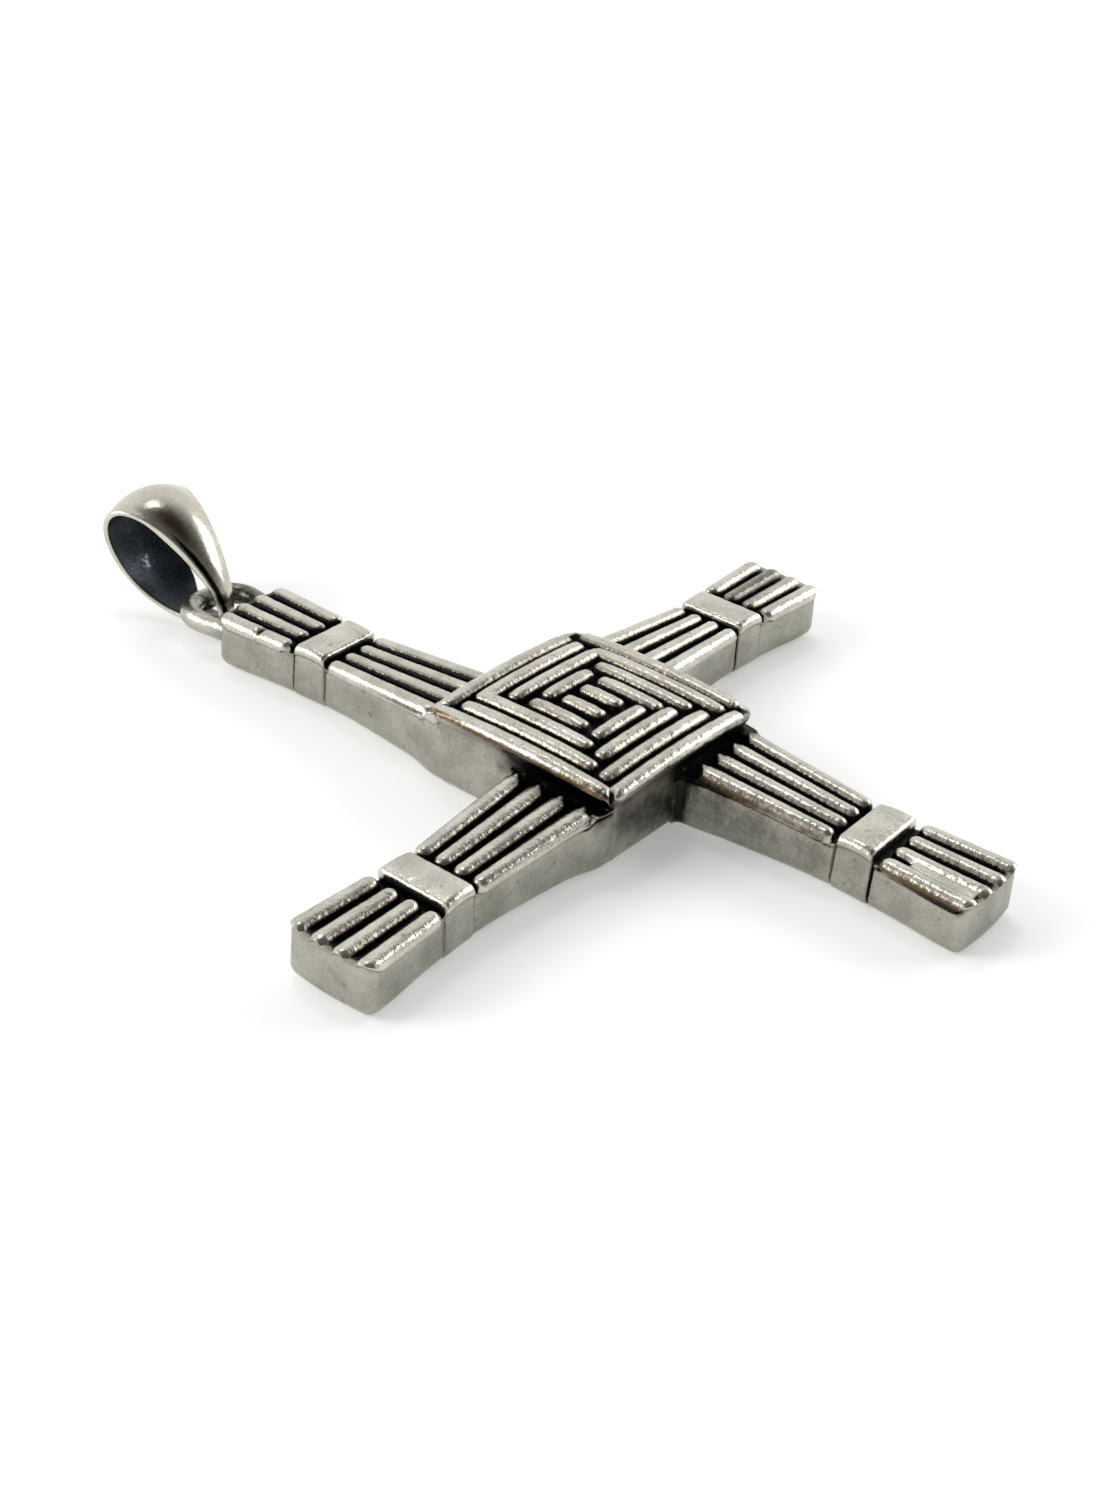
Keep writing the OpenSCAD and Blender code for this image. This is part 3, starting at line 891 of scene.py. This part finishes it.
def math_node(tree, operation, *values):
    """The result of one piece of arithmetic on values or sockets."""
    inputs = dict(enumerate(values))
    return add_node(tree, "ShaderNodeMath", inputs, operation=operation).outputs[0]


def mix_colour(tree, share, first, second):
    """The first colour where the share is 0 and the second where it is 1."""
    inputs = {0: share, 6: first, 7: second}
    return add_node(tree, "ShaderNodeMix", inputs, data_type="RGBA").outputs[2]


def step_node(tree, value, low, high):
    """0 below `low`, 1 above `high`, smooth between them."""
    inputs = {"Value": value, "From Min": low, "From Max": high}
    node = add_node(tree, "ShaderNodeMapRange", inputs, interpolation_type="SMOOTHSTEP")
    return node.outputs["Result"]


def noise_node(tree, scale, detail=2.0, roughness=0.5):
    """Soft noise in the piece's own space, between 0 and 1."""
    place = add_node(tree, "ShaderNodeTexCoord").outputs["Object"]
    inputs = {"Vector": place, "Scale": scale, "Detail": detail, "Roughness": roughness}
    return add_node(tree, "ShaderNodeTexNoise", inputs).outputs["Fac"]


def read_mask(tree, name):
    """One of the masks that the mesh carries."""
    return add_node(tree, "ShaderNodeAttribute", attribute_name=name).outputs["Fac"]


def new_group(name, inputs, outputs):
    """An empty shader group with number sockets, its input sockets and its output node."""
    group = bpy.data.node_groups.new(name, "ShaderNodeTree")
    number = "NodeSocketFloat"
    for socket, value in inputs.items():
        made = group.interface.new_socket(name=socket, in_out="INPUT", socket_type=number)
        made.default_value = value
    for socket in outputs:
        group.interface.new_socket(name=socket, in_out="OUTPUT", socket_type=number)
    return group, group.nodes.new("NodeGroupInput").outputs, group.nodes.new("NodeGroupOutput")


def grainy_edge_group():
    """Where the oxide, the stains, the painted shade and the painted reflections sit: a depth
    mask, broken up by grain, and cut with a soft edge.
    """
    inputs = {"Depth": 0.0, "Level": 0.4, "Softness": 0.1, "Grain": 0.4, "Grain Scale": 9000.0}
    group, given, out = new_group("grainy_edge", inputs, ["Mask"])
    grain = noise_node(group, given["Grain Scale"], detail=3.0, roughness=0.65)
    shift = math_node(group, "MULTIPLY", math_node(group, "SUBTRACT", grain, 0.5), given["Grain"])
    depth = math_node(group, "ADD", given["Depth"], shift)
    low = math_node(group, "SUBTRACT", given["Level"], given["Softness"])
    high = math_node(group, "ADD", given["Level"], given["Softness"])
    group.links.new(step_node(group, depth, low, high), out.inputs["Mask"])
    return group


def satin_grain_group():
    """The skin of worn silver: `Tone` is a broad mottle with fine grain in it, `Height` is the
    relief of tiny dents and `Pits` marks sparse dark specks."""
    inputs = {"Mottle Scale": 900.0, "Grain Scale": 9000.0, "Pit Scale": 2600.0}
    group, given, out = new_group("satin_grain", inputs, ["Tone", "Height", "Pits"])
    mottle = noise_node(group, given["Mottle Scale"], detail=3.0, roughness=0.55)
    grain = noise_node(group, given["Grain Scale"], detail=2.0, roughness=0.6)
    soft = math_node(group, "MULTIPLY", math_node(group, "SUBTRACT", grain, 0.5), 0.6)
    group.links.new(math_node(group, "ADD", mottle, soft), out.inputs["Tone"])
    dents = noise_node(group, math_node(group, "MULTIPLY", given["Grain Scale"], 0.45), detail=2.0)
    broad = math_node(group, "MULTIPLY", dents, 1.5)
    both = math_node(group, "ADD", broad, math_node(group, "MULTIPLY", grain, 0.3))
    group.links.new(both, out.inputs["Height"])
    specks = noise_node(group, given["Pit Scale"], detail=1.0)
    group.links.new(step_node(group, specks, 0.7, 0.76), out.inputs["Pits"])
    return group


grainy_edge = grainy_edge_group()
satin_grain = satin_grain_group()

# Colours of the cast silver, of what lies on it and of the painted shade: dark and light where
# there are two
CREST = (0.43, 0.418, 0.355, 1), (0.63, 0.615, 0.54, 1)
WALL = (0.29, 0.283, 0.235, 1), (0.43, 0.42, 0.365, 1)
PIT_GREY = (0.10, 0.095, 0.085, 1)
WARM_BROWN = (0.115, 0.083, 0.05, 1)
LIP_BROWN = (0.15, 0.115, 0.075, 1)
# Black of the stains, also used as painted shade in corners, under the lips and by the ring
STAIN_AND_SHADE_BLACK = (0.022, 0.02, 0.016, 1)
# Black of the oxide, also used as painted shade under the lips
OXIDE_AND_SHADE_BLACK = (0.006, 0.006, 0.007, 1)
# Colours of the bail, with its painted reflections
POLISHED = (0.49, 0.47, 0.395, 1), (0.64, 0.62, 0.54, 1)
INSIDE_OXIDE = (0.009, 0.011, 0.013, 1), (0.036, 0.044, 0.052, 1)
GLINT_BLUE = (0.16, 0.18, 0.21, 1)
BROWN_REFLECTION_COLOUR = (0.14, 0.10, 0.065, 1)
RIM_REFLECTION_BLACK = (0.012, 0.011, 0.01, 1)
# How deep the tiny dents go, in metres
CAST_RELIEF = 2.0e-5
POLISHED_RELIEF = 5e-6


def metal_material(name, mottle_scale):
    """A metallic material with its node tree, its shader and the outputs of its grain group."""
    material = bpy.data.materials.new(name)
    material.use_nodes = True
    tree = material.node_tree
    shader = tree.nodes["Principled BSDF"]
    shader.inputs["Metallic"].default_value = 1.0
    inputs = {"Mottle Scale": mottle_scale}
    grain = add_node(tree, "ShaderNodeGroup", inputs, node_tree=satin_grain)
    return material, tree, shader, grain.outputs


def grainy_edge_mask(tree, depth, level, softness, grain, scale=9000.0):
    """One mask of the mesh as a grainy edge, for patina, stains, painted shade and painted
    reflections.
    """
    inputs = {"Depth": depth, "Level": level, "Softness": softness, "Grain": grain}
    inputs["Grain Scale"] = scale
    return add_node(tree, "ShaderNodeGroup", inputs, node_tree=grainy_edge).outputs["Mask"]


def finish_metal(tree, shader, colour, rough, height, relief):
    """Colour, roughness and a bump of the grain's height, fed to the shader."""
    inputs = {"Strength": 1.0, "Distance": relief, "Height": height}
    bump = add_node(tree, "ShaderNodeBump", inputs)
    tree.links.new(colour, shader.inputs["Base Color"])
    tree.links.new(rough, shader.inputs["Roughness"])
    tree.links.new(bump.outputs["Normal"], shader.inputs["Normal"])


def oxidised_silver():
    """Cast silver: pale polished crests, satin grey walls, brown at the grooves' lips and a
    black oxide in them, the same brown and black as painted shade under the walls' lips, and
    stains and painted shade where the black streaks are."""
    material, tree, shader, grain = metal_material("oxidised_silver", 700.0)
    tone = step_node(tree, grain["Tone"], 0.25, 0.75)
    walls = read_mask(tree, "wall")
    colour = mix_colour(tree, walls, mix_colour(tree, tone, *CREST), mix_colour(tree, tone, *WALL))
    pits = math_node(tree, "MULTIPLY", grain["Pits"], 0.4)
    # The groove mask holds the oxide's depth and the painted shade under the lips
    groove = read_mask(tree, "groove")
    lip = grainy_edge_mask(tree, groove, level=0.2, softness=0.12, grain=0.3)
    brown = math_node(tree, "MULTIPLY", lip, 0.75)
    black = grainy_edge_mask(tree, groove, level=0.36, softness=0.1, grain=0.4)
    # Stains and painted shade from the black streaks
    stained_and_shaded = read_mask(tree, "stain_and_shade")
    stain_and_shade = grainy_edge_mask(tree, stained_and_shaded, level=0.5, softness=0.42, grain=0.5, scale=3000.0)
    warmed = read_mask(tree, "warm")
    warm = grainy_edge_mask(tree, warmed, level=0.5, softness=0.3, grain=0.6, scale=5000.0)
    coats = (
        (pits, PIT_GREY),
        (warm, WARM_BROWN),
        (brown, LIP_BROWN),
        (stain_and_shade, STAIN_AND_SHADE_BLACK),
        (black, OXIDE_AND_SHADE_BLACK),
    )
    for share, coat in coats:
        colour = mix_colour(tree, share, colour, coat)
    satin = math_node(tree, "MULTIPLY_ADD", walls, 0.12, 0.25)
    rough = math_node(tree, "MULTIPLY_ADD", black, 0.15, satin)
    finish_metal(tree, shader, colour, rough, grain["Height"], CAST_RELIEF)
    return material


def soft_polished_silver():
    """The bail: softly polished outside, with a painted brown reflection and a painted dark
    reflection beside the upper west rim, and a black oxide with a few glints inside."""
    material, tree, shader, grain = metal_material("soft_polished_silver", 500.0)
    tone = step_node(tree, grain["Tone"], 0.3, 0.75)
    clean = mix_colour(tree, tone, *POLISHED)
    inside = read_mask(tree, "inside")
    glints = read_mask(tree, "glints")
    speckle = grainy_edge_mask(tree, glints, level=0.98, softness=0.1, grain=1.2, scale=4200.0)
    oxide = mix_colour(tree, speckle, mix_colour(tree, tone, *INSIDE_OXIDE), GLINT_BLUE)
    within = grainy_edge_mask(tree, inside, level=0.5, softness=0.2, grain=0.2)
    colour = mix_colour(tree, within, clean, oxide)
    # Painted brown reflection
    brown_reflection = read_mask(tree, "brown_reflection")
    brown = grainy_edge_mask(tree, brown_reflection, level=0.5, softness=0.45, grain=0.5, scale=3500.0)
    colour = mix_colour(tree, brown, colour, BROWN_REFLECTION_COLOUR)
    # Painted dark reflection beside the upper west rim
    line = grainy_edge_mask(tree, read_mask(tree, "rim_reflection"), level=0.5, softness=0.25, grain=0.6)
    colour = mix_colour(tree, line, colour, RIM_REFLECTION_BLACK)
    rough = math_node(tree, "MULTIPLY_ADD", inside, 0.16, 0.2)
    finish_metal(tree, shader, colour, rough, grain["Height"], POLISHED_RELIEF)
    return material


cross.data.materials.clear()
cross.data.materials.append(oxidised_silver())
bail.data.materials.append(soft_polished_silver())

# The floor: pale paper that glows a little, so that it stays white to its edge
floor_mesh = bpy.data.meshes.new("floor")
floor_mesh.from_pydata([(-2, -2, 0), (2, -2, 0), (2, 2, 0), (-2, 2, 0)], [], [(0, 1, 2, 3)])
floor = to_object("floor", floor_mesh)
paper = bpy.data.materials.new("floor_paper")
paper.use_nodes = True
paper_look = {
    "Base Color": (0.93, 0.93, 0.93, 1),
    "Roughness": 0.9,
    "Emission Color": (1, 1, 1, 1),
    "Emission Strength": 0.25,
}
for socket, value in paper_look.items():
    paper.node_tree.nodes["Principled BSDF"].inputs[socket].default_value = value
floor.data.materials.append(paper)


def direction(bearing, rise):
    """Unit vector to a compass bearing and a height angle, in degrees."""
    b, r = math.radians(bearing), math.radians(rise)
    return np.array([math.sin(b) * math.cos(r), math.cos(b) * math.cos(r), math.sin(r)])


def studio_world(bright, shade, shade_bearing, shade_rise):
    """An even studio sky with one soft dark side, where the dot product of the view direction
    and the dark side's direction is high."""
    world = bpy.data.worlds.new("studio")
    world.use_nodes = True
    tree = world.node_tree
    seen = add_node(tree, "ShaderNodeTexCoord").outputs["Generated"]
    inputs = {0: seen, 1: direction(shade_bearing, shade_rise)}
    to_shade = add_node(tree, "ShaderNodeVectorMath", inputs, operation="DOT_PRODUCT")
    share = step_node(tree, to_shade.outputs["Value"], 0.35, 0.9)
    level = mix_colour(tree, share, *((tone, tone, tone, 1) for tone in (bright, shade)))
    tree.links.new(level, tree.nodes["Background"].inputs["Color"])
    bpy.context.scene.world = world


def soft_box(name, bearing, rise, size, glow, distance=0.35):
    """An area light that faces the pendant. `glow` is how bright its face looks, so its power
    is glow times pi times its area."""
    lamp = bpy.data.lights.new(name, "AREA")
    lamp.shape = "RECTANGLE"
    lamp.size, lamp.size_y = size
    lamp.energy = glow * math.pi * size[0] * size[1]
    holder = to_object(name, lamp)
    back = direction(bearing, rise)
    right = np.cross([0, 0, 1.0], back)
    right /= np.linalg.norm(right)
    turned = np.stack([right, np.cross(back, right), back], 1)
    holder.matrix_world = Matrix.Translation(back * distance) @ Matrix(turned.tolist()).to_4x4()


studio_world(bright=1.05, shade=0.15, shade_bearing=185, shade_rise=60)
soft_box("north_west_window", bearing=-46, rise=26, size=(0.16, 0.14), glow=7.0)
soft_box("south_east_window", bearing=112, rise=30, size=(0.26, 0.13), glow=3.4)
soft_box("ceiling_lamp", bearing=30, rise=68, size=(0.07, 0.05), glow=8.0)
bpy.context.scene.view_settings.view_transform = "Standard"

# The camera of the photograph: place and focal length, and its bearing, height angle and roll
CAMERA_AT = (-0.05534, -0.03999, 0.04438)
FOCAL_LENGTH = 49.88
BEARING, DOWN, ROLL = (math.radians(a) for a in (53.188, 32.157, 4.606))
looks = np.array([
    math.sin(BEARING) * math.cos(DOWN),
    math.cos(BEARING) * math.cos(DOWN),
    -math.sin(DOWN),
])
level = np.array([math.cos(BEARING), -math.sin(BEARING), 0.0])
rise = np.cross(level, looks)
right = level * math.cos(ROLL) + rise * math.sin(ROLL)
up = rise * math.cos(ROLL) - level * math.sin(ROLL)
lens = bpy.data.cameras.new("photo_camera")
lens.lens = FOCAL_LENGTH
lens.sensor_width = 36
lens.clip_start = 0.001
camera = to_object("photo_camera", lens)
camera.matrix_world = (
    Matrix.Translation(CAMERA_AT) @ Matrix(np.stack([right, up, -looks], 1).tolist()).to_4x4()
)
bpy.context.scene.camera = camera
